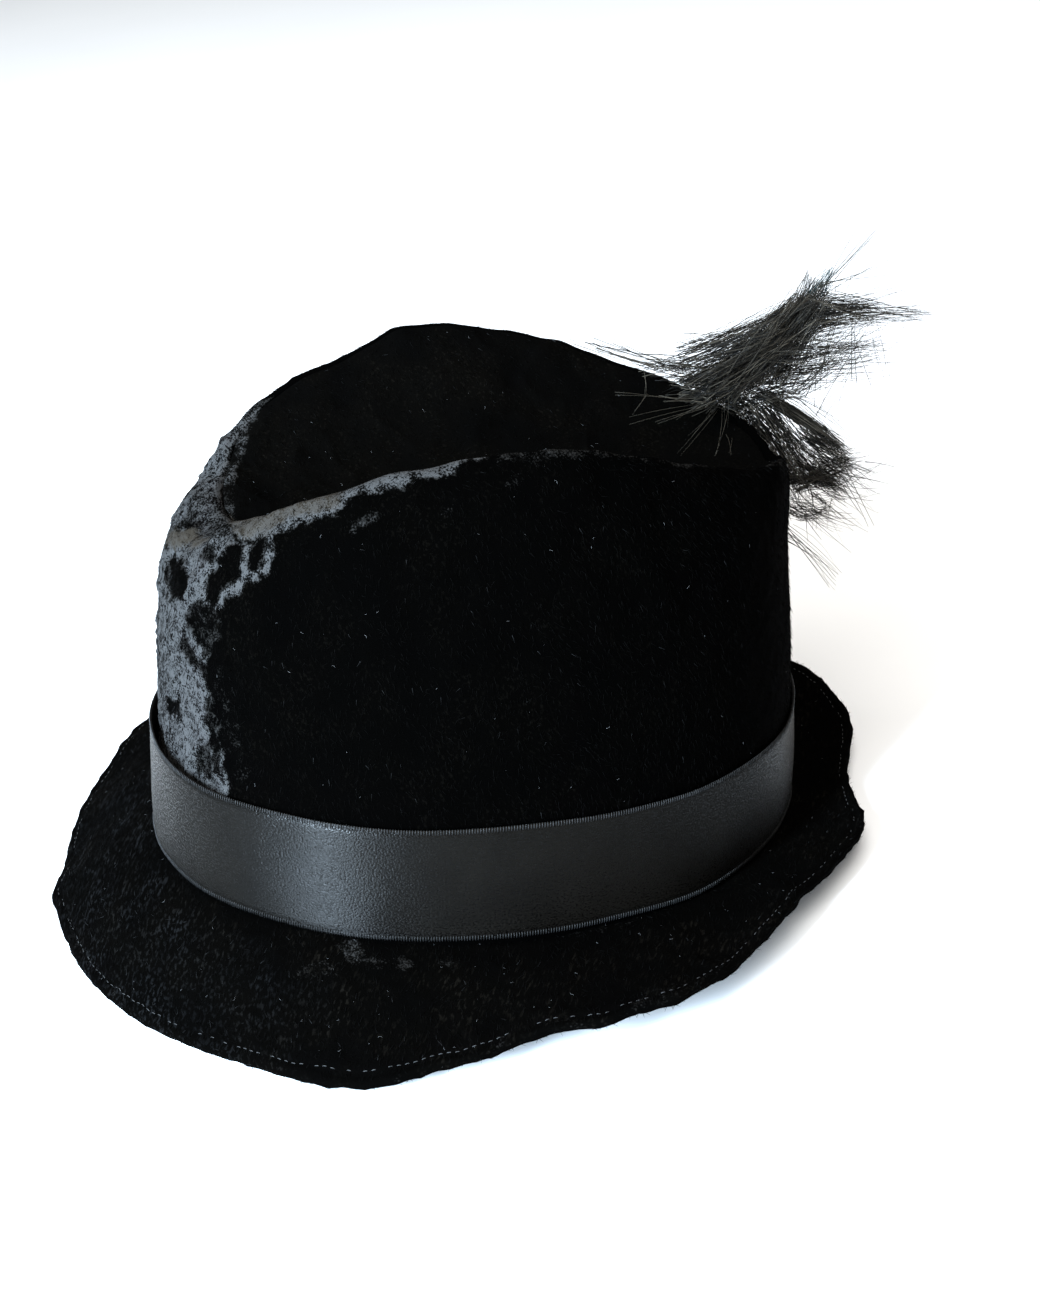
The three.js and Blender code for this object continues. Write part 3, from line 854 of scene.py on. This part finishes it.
def brim():
    edge = brim_edge()
    points, normals, faces = dense_copy("brim")
    distance = distance_to(edge, points)
    calm = smoothstep(0.1, 0.5, np.abs(normals[:, 2]))
    near_edge = smoothstep(30, 0, distance)
    bead = 0.5 * np.exp(-(((distance - 1.3) / 1.1) ** 2))
    groove = -0.75 * np.exp(-(((distance - HEM_WIDTH) / 0.7) ** 2))
    pucker = 0.4 * np.exp(-(((distance - 4.5) / 3.5) ** 2)) * perlin(points, 4.5, 41)
    height = relief(points, 0.25 * near_edge, 12, 42) + bead + groove + pucker
    moved = loosened(points + normals * (calm * height)[:, None], near_edge)
    # Paler along the hem and in patches: partly wear, partly a painted sheen.
    hem = 0.32 * np.exp(-(((distance - 1.5) / 1.8) ** 2)) * smoothstep(-0.2, 0.6, perlin(points, 12, 46))
    top = normals[:, 2] > -0.2
    sheen_and_wear = np.maximum(marked(points, normals, RUBBED_BRIM_AND_SHEEN), hem) * top
    wear_and_sheen = {"sheen_and_wear": sheen_and_wear, "bare": 0 * sheen_and_wear, "brushed_and_sheen": brushed_and_sheen_part(points) * top}
    piece = velvet_piece("brim", BRIM_VELVET_PAINTED_LIGHTER, moved, faces, np.zeros(len(points)), wear_and_sheen)
    return piece, loosened(edge, np.ones(len(edge)))


def surface_of(piece):
    """Points, normals and triangles of a finished piece, in the hat's own frame."""
    mesh = piece.data
    mesh.calc_loop_triangles()
    points, normals = read(mesh.vertices, "co"), read(mesh.vertex_normals, "vector")
    return to_own(points), normals @ LEAN, read(mesh.loop_triangles, "vertices", 3, int)


def scattered(piece, count, keep):
    """Random places on a piece where keep(points, normals) says so: points and normals."""
    points, normals, corners = surface_of(piece)
    middles, facing = points[corners].mean(axis=1), unit(normals[corners].mean(axis=1))
    first, second, third = (points[corners[:, k]] for k in range(3))
    area = np.linalg.norm(np.cross(second - first, third - first), axis=1)
    area = area * keep(middles, facing)
    picked = random.choice(len(corners), size=count, p=area / area.sum())
    shares = random.dirichlet((1, 1, 1), size=count)
    return np.einsum("ij,ijk->ik", shares, points[corners[picked]]), facing[picked]


def flattened(directions, normals):
    """Directions turned to lie along the surface."""
    return unit(directions - normals * np.einsum("ij,ij->i", directions, normals)[:, None])


def pile(name, piece, count, keep, nap, brushed_and_sheen):
    """Single fibres that lie along the nap. More of them are painted lighter, as glints, where the brim's
    brushed nap and painted sheen lie.
    """
    roots, normals = scattered(piece, count, keep)
    lean = flattened(nap(roots) + 0.45 * random.normal(size=roots.shape), normals)
    length = random.uniform(*PILE_LENGTH, size=count)
    lift = random.uniform(0.12, 0.45, size=count)
    tips = roots + length[:, None] * unit(lean + lift[:, None] * normals)
    roots = roots - 0.15 * normals
    points, faces = spikes(roots, tips, PILE_RADIUS)
    made = mesh_piece(name, points, faces, [PILE], smooth=False)
    bright = random.random(count) < 0.03 + 0.3 * brushed_and_sheen(roots)
    tone = np.where(bright, random.random(count) ** 1.5, 0.1 * random.random(count))
    set_attribute(made.data, "tone", np.repeat(tone, 4))


def outer_wall(points, normals):
    facing = np.einsum("ij,ij->i", normals, wall_out(points))
    return (facing > 0.3) & (points[:, 2] > 8)


def down_nap(points):
    return np.array([0.35, 0.2, -1.0]) + 0.8 * sway(points, 22, 1.0)


def unbrushed(points):
    return np.zeros(len(points))


def brim_nap(points):
    """The nap on the brim runs aslant, away from its left edge."""
    return np.array([-0.9, 0.5, 0.0]) + 0.9 * sway(points, 20, 1.0)


def travelled_along(line):
    """How far along a closed line each of its points is, and last how long the line is."""
    steps = np.linalg.norm(np.diff(line, axis=0, append=line[:1]), axis=1)
    return np.concatenate([[0], np.cumsum(steps)])


def read_loop(values, travelled, at):
    """Reads the values of a closed line's points at distances along it."""
    closed = np.vstack([values, values[:1]])
    return np.stack([np.interp(at, travelled, closed[:, axis]) for axis in range(3)], -1)


def stitches(name, brim_piece, edge, from_above):
    """One line of stitches inside the brim's edge, on its top or underneath."""
    tree = tree_of(surface_of(brim_piece))
    travelled = travelled_along(edge)
    pitch = STITCH_LENGTH + STITCH_GAP
    count = int(travelled[-1] / pitch)
    sign = 1 if from_above else -1
    paths = []
    for number in range(count):
        path = []
        for share in np.linspace(0, 1, 5):
            along = (number * pitch + share * STITCH_LENGTH) % travelled[-1]
            place = read_loop(edge, travelled, along)
            inward = unit(-place * [1, 1, 0])
            start = place + inward * (HEM_WIDTH * 0.93) + UP * 30 * sign
            hit, _, _, _ = tree.ray_cast(Vector(start), Vector(-UP * sign))
            if hit is None:
                break
            sunk = 0.25 * (2 * share - 1) ** 2
            path.append(np.array(hit) + UP * sign * (0.06 - sunk))
        if len(path) == 5 and random.random() < SHOWN_STITCHES:
            paths.append(path)
    paths = np.array(paths)
    radii = np.tile(THREAD_RADIUS * np.array([0.6, 1, 1, 1, 0.6]), (len(paths), 1))
    tube_piece(name, paths, radii, STITCH, sides=5)


def lint(pieces):
    """A few pale fibres that cling to the velvet."""
    paths = []
    for piece, count in pieces:
        places, normals = scattered(piece, count, lambda p, n: n[:, 2] > -0.2)
        lean = flattened(unit(random.normal(size=places.shape)), normals)
        curl = np.cross(lean, normals) * random.uniform(-0.6, 0.6, size=(count, 1))
        size = random.uniform(0.1, 0.7, size=(count, 1)) ** 1.4
        steps = [places + size * (lean * t + curl * t * t) + 0.3 * normals for t in np.linspace(-1, 1, 6)]
        paths.append(np.stack(steps, axis=1))
    paths = np.concatenate(paths)
    tube_piece("lint", paths, np.full(paths.shape[:2], LINT_RADIUS), LINT)


# Ribbon


def ribbon_rings():
    """The CAD ribbon's outer face as rings at four heights, each in order round the crown."""
    points = np.unique(to_own(vertices_of("ribbon")).round(3), axis=0)
    rings = []
    for height in sorted(set(np.round(points[:, 2]))):
        level = points[np.abs(points[:, 2] - height) < 1]
        level = level[np.argsort((angle_of(level) + 2) % 360)]
        pairs = level.reshape(-1, 2, 3)
        rings.append(pairs[np.arange(len(pairs)), reach_of(pairs).argmax(axis=1)])
    return np.array(rings)


def smooth_loop(values, count):
    """Reads a closed loop of points at count even steps, without corners."""
    known = len(values)
    places = np.arange(count) * known / count
    index = places.astype(int)
    share = (places - index)[:, None]
    before, start, end, after = (values[(index + k) % known] for k in (-1, 0, 1, 2))
    bend = (end - before) * share * (1 - share) ** 2 / 2 - (after - start) * share**2 * (1 - share) / 2
    return start + (end - start) * share * share * (3 - 2 * share) + bend


def ribbon_surface():
    """The ribbon's outer face as a grid (rows, columns, 3), from its lower edge to its upper edge."""
    rings = [smooth_loop(ring, RIBBON_COLUMNS) for ring in ribbon_rings()]
    known = np.linspace(0, 1, len(rings))
    rows = []
    for share in np.linspace(0, 1, RIBBON_ROWS):
        after = min(len(rings) - 1, max(1, int(np.searchsorted(known, share))))
        part = (share - known[after - 1]) / (known[after] - known[after - 1])
        rows.append(rings[after - 1] + (rings[after] - rings[after - 1]) * part)
    grid = np.array(rows)
    flat = grid.reshape(-1, 3)
    rise = RIBBON_RISE * np.exp(-(((angle_of(flat) - 84) / 24) ** 2))
    return (flat + settled(flat) + rise[:, None] * UP).reshape(grid.shape)


def ribbon():
    outer = ribbon_surface()
    out = unit(outer * [1, 1, 0])
    ripple = 0.18 * perlin(outer.reshape(-1, 3), 17, 51).reshape(outer.shape[:2])
    outer = outer + out * ripple[..., None]
    inner = outer - out * RIBBON_THICKNESS
    rows, columns = outer.shape[:2]
    points = np.concatenate([outer.reshape(-1, 3), inner.reshape(-1, 3)])
    back = rows * columns
    top = back - columns
    faces = []
    for column in range(columns):
        after = (column + 1) % columns
        for low in range(0, top, columns):
            high = low + columns
            faces.append((low + column, low + after, high + after, high + column))
            faces.append(tuple(back + k for k in (high + column, high + after, low + after, low + column)))
        faces.append((back + column, back + after, after, column))
        faces.append((top + column, top + after, back + top + after, back + top + column))
    piece = mesh_piece("ribbon_satin", points, faces, [SATIN])
    round_it = travelled_along(outer[0])[1:]
    along = np.tile(round_it, rows)
    across = np.repeat(np.linspace(0, RIBBON_WIDTH, rows), columns)
    set_attribute(piece.data, "along", np.tile(along, 2))
    set_attribute(piece.data, "across", np.tile(across, 2))
    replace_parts(piece, "ribbon")
    picot = picots(outer, out)


def picots(outer, out):
    """The looped selvage: short threads across both edges of the ribbon, standing a little beyond them."""
    paths = []
    for row, next_row in ((0, 1), (-1, -2)):
        line, inside = outer[row], outer[next_row]
        travelled = travelled_along(line)
        count = int(travelled[-1] / PICOT_SPACING)
        at = np.arange(count) * travelled[-1] / count
        place, inward, away = (read_loop(v, travelled, at) for v in (line, unit(inside - line), out[row]))
        loop = []
        for share, stand in ((-PICOT_OVERHANG, 0.0), (0.25, 0.16), (0.8, 0.16), (PICOT_LENGTH, 0.0)):
            loop.append(place + inward * share + away * stand)
        paths.append(np.stack(loop, axis=1))
    paths = np.concatenate(paths)
    return tube_piece("ribbon_picots", paths, np.full(paths.shape[:2], PICOT_RADIUS), PICOT)


# Plume


# Groups of bristles by pixels of the photograph: how many, the line on which they start and the line on which
# they end, each as x, y, x, y, how far they scatter there, how much of its start and of its end a hair may
# lack, how deep the group is and how much it bows down, in millimetres.
UPPER_GROUPS = (
    ("core low", 210, (668, 390, 712, 412), (765, 330, 800, 372), 9, 0.3, 0.2, 5.5, 0.5),
    ("core upper edge", 130, (705, 366, 725, 384), (800, 290, 812, 300), 4, 0.3, 0.1, 4.5, 0.0),
    ("core middle", 230, (700, 378, 735, 404), (785, 306, 822, 350), 8, 0.2, 0.2, 5.5, 0.3),
    ("core high", 220, (735, 352, 775, 392), (806, 284, 834, 312), 6, 0.2, 0.1, 4.5, 0.0),
    ("core steep", 120, (710, 402, 765, 392), (775, 305, 820, 298), 8, 0.2, 0.3, 5.5, 0.0),
    ("core flat", 110, (672, 380, 700, 405), (790, 330, 825, 340), 9, 0.3, 0.3, 6.0, -0.8),
    ("blunt end", 170, (775, 330, 800, 350), (808, 272, 838, 294), 4, 0.2, 0.1, 3.0, 0.0),
    ("left fringe", 110, (665, 362, 660, 376), (795, 304, 770, 345), 6, 0.6, 0.1, 6.5, 0.0),
    ("left fringe long", 34, (676, 340, 665, 366), (785, 303, 765, 338), 6, 0.2, 0.1, 5.0, 0.0),
    ("over the ridge", 60, (620, 356, 650, 378), (712, 372, 738, 378), 9, 0.5, 0.1, 6.0, -0.5),
    ("left brush", 50, (640, 386, 672, 408), (715, 372, 740, 398), 9, 0.7, 0.1, 8.0, 0.5),
    ("root", 120, (688, 384, 735, 402), (722, 350, 775, 378), 7, 0.2, 0.2, 5.0, 0.3),
    ("left stubs", 60, (668, 384, 690, 410), (735, 366, 750, 392), 7, 0.4, 0.1, 8.0, 0.5),
    ("left long", 26, (560, 336, 605, 352), (690, 368, 712, 380), 7, 0.4, 0.1, 4.0, 0.6),
    ("right fan high", 130, (795, 300, 800, 332), (895, 296, 888, 326), 12, 0.1, 0.6, 6.5, -0.8),
    ("right fan tips", 44, (820, 300, 815, 325), (946, 308, 942, 320), 7, 0.0, 0.3, 4.0, -0.6),
    ("right fan middle", 120, (765, 335, 770, 378), (885, 318, 885, 364), 14, 0.1, 0.65, 7.5, -0.5),
    ("right fan long", 60, (780, 345, 775, 375), (905, 318, 892, 372), 12, 0.0, 0.3, 7.5, 0.5),
    ("right low", 80, (735, 385, 745, 400), (825, 378, 832, 396), 9, 0.1, 0.5, 6.0, -0.6),
    ("far strays", 22, (820, 285, 835, 310), (930, 240, 935, 330), 8, 0.0, 0.3, 3.0, 0.0),
    ("cross strays", 40, (795, 405, 890, 390), (800, 300, 895, 305), 14, 0.3, 0.3, 7.0, 0.0),
    ("thin curved", 12, (765, 390, 780, 396), (840, 425, 856, 450), 6, 0.0, 0.3, 4.0, -2.5),
)
FRONT_HAIRS = (
    (700, 402, 615, 395), (700, 404, 629, 417), (715, 405, 655, 422), (716, 410, 688, 436),
    (718, 410, 681, 455), (722, 408, 716, 455), (723, 430, 731, 455), (721, 357, 724, 425),
    (645, 396, 632, 415), (644, 376, 645, 398), (712, 404, 664, 402), (700, 404, 676, 420),
)
TEAL_WISP = (34, (806, 296, 818, 302), (832, 262, 840, 266), 2, 0.1, 0.3, 1.0, 0.0)
TIP_HAIRS = (10, (818, 282, 826, 290), (862, 212, 888, 216), 5, 0.0, 0.3, 1.5, 0.0)
LOWER_GROUPS = (
    ("dense edge", 170, (752, 389, 764, 396), (832, 440, 856, 456), 4, 0.2, 0.1, 3.0, -1.0),
    ("dense edge end", 110, (790, 418, 806, 440), (844, 450, 854, 478), 5, 0.3, 0.1, 4.0, -0.3),
    ("veil", 170, (738, 402, 768, 402), (795, 472, 838, 480), 9, 0.2, 0.2, 4.5, -0.4),
    ("low side", 110, (735, 408, 752, 420), (785, 480, 820, 498), 9, 0.3, 0.2, 4.5, -0.8),
    ("low end", 110, (765, 450, 800, 462), (795, 515, 840, 492), 9, 0.3, 0.2, 4.0, -0.4),
    ("across", 130, (776, 474, 790, 490), (836, 474, 848, 490), 6, 0.2, 0.2, 4.0, -0.4),
    ("blunt end", 190, (808, 446, 816, 484), (856, 456, 842, 496), 7, 0.2, 0.0, 4.0, 0.0),
    ("looped end", 40, (786, 500, 790, 514), (822, 516, 836, 502), 4, 0.1, 0.1, 3.0, 2.0),
    ("strays right", 40, (845, 460, 838, 485), (895, 462, 885, 520), 12, 0.0, 0.5, 5.5, 0.0),
    ("strays low", 44, (825, 490, 800, 510), (868, 530, 820, 548), 12, 0.0, 0.5, 5.5, 0.0),
    ("tie knot", 90, (722, 398, 735, 420), (752, 402, 760, 430), 10, 0.1, 0.1, 4.5, -2.0),
    ("tie root", 110, (700, 396, 745, 396), (722, 414, 765, 424), 6, 0.1, 0.1, 4.0, -1.0),
)
HANGING_WISP = (13, (786, 524, 788, 534), (850, 572, 834, 600), 3, 0.0, 0.25, 0.6, -0.8)


def brush(count, start, end, scatter, lack_start, lack_end, depth, bow):
    """Curved hairs in small locks, from one line to another in the photograph: their paths and radii."""
    locks = count // 6 if count > 60 else count // 2
    lock = random.integers(locks, size=count)

    def spots(line, loose):
        share = random.random(locks)[lock] + 0.12 * random.normal(size=count)
        first, last = np.reshape(line, (2, 2)).astype(float)
        middle = first + (last - first) * share[:, None]
        lockwise = random.normal(size=(locks, 2))[lock] * 0.7 * scatter
        return middle + lockwise + loose * random.normal(size=(count, 2))

    core = TIE[0] + 0.6 * depth * random.normal(size=locks)[lock]
    flare = depth * random.normal(size=locks)[lock] + 0.5 * random.normal(size=count)
    starts, ends = spots(start, 2.5), spots(end, 0.5 * scatter)
    late, early = (
        lack * (0.6 * random.random(locks)[lock] + 0.4 * random.random(count))[:, None]
        for lack in (lack_start, lack_end)
    )
    starts, ends = starts + late * (ends - starts), ends + early * (starts - ends)
    roots = on_plane(starts[:, 0], starts[:, 1], core)
    tips = on_plane(ends[:, 0], ends[:, 1], core + flare)
    shares = np.linspace(0, 1, HAIR_STEPS)[None, :, None]
    long = np.linalg.norm(tips - roots, axis=1)[:, None]
    bend = 0.032 * np.minimum(long, 20) * random.normal(size=(count, 3)) - bow * UP
    paths = roots[:, None] + (tips - roots)[:, None] * shares + 4 * shares * (1 - shares) * bend[:, None]
    thick = random.uniform(*HAIR_RADII, size=count)[:, None]
    return paths, thick * np.linspace(1, 0.4, HAIR_STEPS)[None, :]


def single_hairs(lines, crown):
    """Light hairs that hang forward over the crown, by the pixels of their roots and tips."""
    trees = [tree_of(surface_of(piece)) for piece in crown]
    lines = np.repeat(np.reshape(lines, (-1, 2, 2)).astype(float), 2, axis=0)
    lines[1::2] += 3 * random.normal(size=(len(lines) // 2, 2, 2))
    eye = to_own([CAMERA_PLACE])[0]
    paths = []
    for root, tip in lines:
        start = on_plane(root[:1], root[1:], np.array([TIE[0] + 5]))[0]
        end = on_plane(tip[:1], tip[1:], np.array([TIE[0] + 8]))[0]
        hits = [tree.ray_cast(Vector(eye), Vector(end - eye)) for tree in trees]
        depths = [hit[3] for hit in hits if hit[0] is not None]
        if depths:
            reach = min(min(depths) - 1.5, np.linalg.norm(end - eye))
            end = eye + unit(end - eye) * reach
        if np.linalg.norm(end - start) > 45:
            continue
        shares = np.linspace(0, 1, HAIR_STEPS)[:, None]
        paths.append(start + (end - start) * shares + 4 * shares * (1 - shares) * [1.5, 0, 1.0])
    paths = np.array(paths)
    return paths, HAIR_RADII[0] * np.tile(np.linspace(1, 0.5, HAIR_STEPS), (len(paths), 1))


def bristle_piece(name, groups, replaced):
    """One mesh of bristles from groups of (paths, radii, lowest tone, teal)."""
    paths, radii = (np.concatenate([g[k] for g in groups]) for k in (0, 1))
    piece = tube_piece(name, paths, radii, BRISTLE)
    lightest, teal = (np.repeat([g[k] for g in groups], [len(g[0]) for g in groups]) for k in (2, 3))
    tone = lightest + (1 - lightest) * random.beta(0.35, 1.7, size=len(paths))
    points_each = len(piece.data.vertices) // len(paths)
    set_attribute(piece.data, "tone", np.repeat(tone, points_each))
    set_attribute(piece.data, "teal", np.repeat(teal, points_each))
    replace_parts(piece, replaced)


def upper_tuft(crown):
    groups = [(*brush(*group[1:]), 0.0, 0.0) for group in UPPER_GROUPS]
    groups.append((*brush(*TEAL_WISP), 0.1, 1.0))
    groups.append((*brush(*TIP_HAIRS), 0.2, 0.3))
    groups.append((*single_hairs(FRONT_HAIRS, crown), 0.5, 0.0))
    bristle_piece("plume_upper_bristles", groups, "plume_tuft_upper")


def lower_tuft():
    groups = [(*brush(*group[1:]), 0.0, 0.0) for group in LOWER_GROUPS]
    groups.append((*brush(*HANGING_WISP), 0.0, 0.0))
    bristle_piece("plume_lower_bristles", groups, "plume_tuft_lower")


def binding():
    """Thread wound round the tie."""
    turns = np.linspace(0, 7, 85)
    swing = 2 * np.pi * turns
    radius = 1.75 + 0.15 * np.sin(1.7 * turns)
    path = TIE + np.stack([radius * np.cos(swing), radius * np.sin(swing), -3.2 + 0.62 * turns], -1)
    tube_piece("plume_binding", path[None], np.full((1, len(path)), BINDING_RADIUS), BINDING, 6)


# The room


def area_light(name, azimuth, elevation, distance, size, power, colour):
    """A soft light that looks at the hat. Its size is its width and height in metres."""
    data = bpy.data.lights.new(name, "AREA")
    data.shape = "RECTANGLE"
    data.size, data.size_y = size
    data.energy = power
    data.color = colour
    back = towards(azimuth, elevation)
    light = link(bpy.data.objects.new(name, data))
    light.location = Vector((0, 0, 0.07)) + back * distance
    light.rotation_mode = "QUATERNION"
    light.rotation_quaternion = back.to_track_quat("Z", "Y")


def make_room():
    scene = bpy.context.scene
    scene.view_settings.view_transform = "Standard"
    world = bpy.data.worlds.new("world")
    world.use_nodes = True
    sky = world.node_tree.nodes["Background"].inputs
    sky["Color"].default_value = (1.0, 0.98, 0.95, 1)
    sky["Strength"].default_value = 0.36
    scene.world = world
    half = 6.0
    corners = [(-half, -half, 0), (half, -half, 0), (half, half, 0), (-half, half, 0)]
    mesh = bpy.data.meshes.new("floor")
    mesh.from_pydata(corners, [], [(0, 1, 2, 3)])
    mesh.materials.append(floor_look())
    link(bpy.data.objects.new("floor", mesh))
    area_light("window", 36.5, 17, 1.5, (0.22, 1.2), 200, (0.66, 0.83, 1.0))
    area_light("ceiling", 80, 80, 1.9, (1.8, 1.8), 60, (1.0, 0.98, 0.95))
    area_light("wall", 124, 25, 1.7, (1.0, 0.8), 1.8, (1.0, 0.9, 0.78))
    area_light("far_wall", 250, 35, 1.9, (1.2, 1.0), 2, (0.98, 0.98, 1.0))


make_camera()
make_room()
CROWN = {node: dense_copy(node) for node in ("crown_left", "crown_right", "crown_tip")}
left = crown_panel("crown_left", CROWN)
right = crown_panel("crown_right", CROWN)
tip = crown_tip(CROWN)
brim_piece, EDGE = brim()
ribbon()
stitches("brim_stitches_top", brim_piece, EDGE, True)
stitches("brim_stitches_under", brim_piece, EDGE, False)
pile("pile_left", left, 15000, outer_wall, down_nap, unbrushed)
pile("pile_right", right, 11000, outer_wall, down_nap, unbrushed)
pile("pile_tip", tip, 7000, lambda p, n: n[:, 2] > 0.2, down_nap, unbrushed)
pile("pile_brim", brim_piece, 30000, lambda p, n: np.abs(n[:, 2]) > 0.2, brim_nap, brushed_and_sheen_part)
lint([(left, 170), (right, 70), (tip, 100), (brim_piece, 240)])
upper_tuft((left, tip))
lower_tuft()
binding()
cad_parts["plume_quill"].data.materials.clear()
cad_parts["plume_quill"].data.materials.append(QUILL)
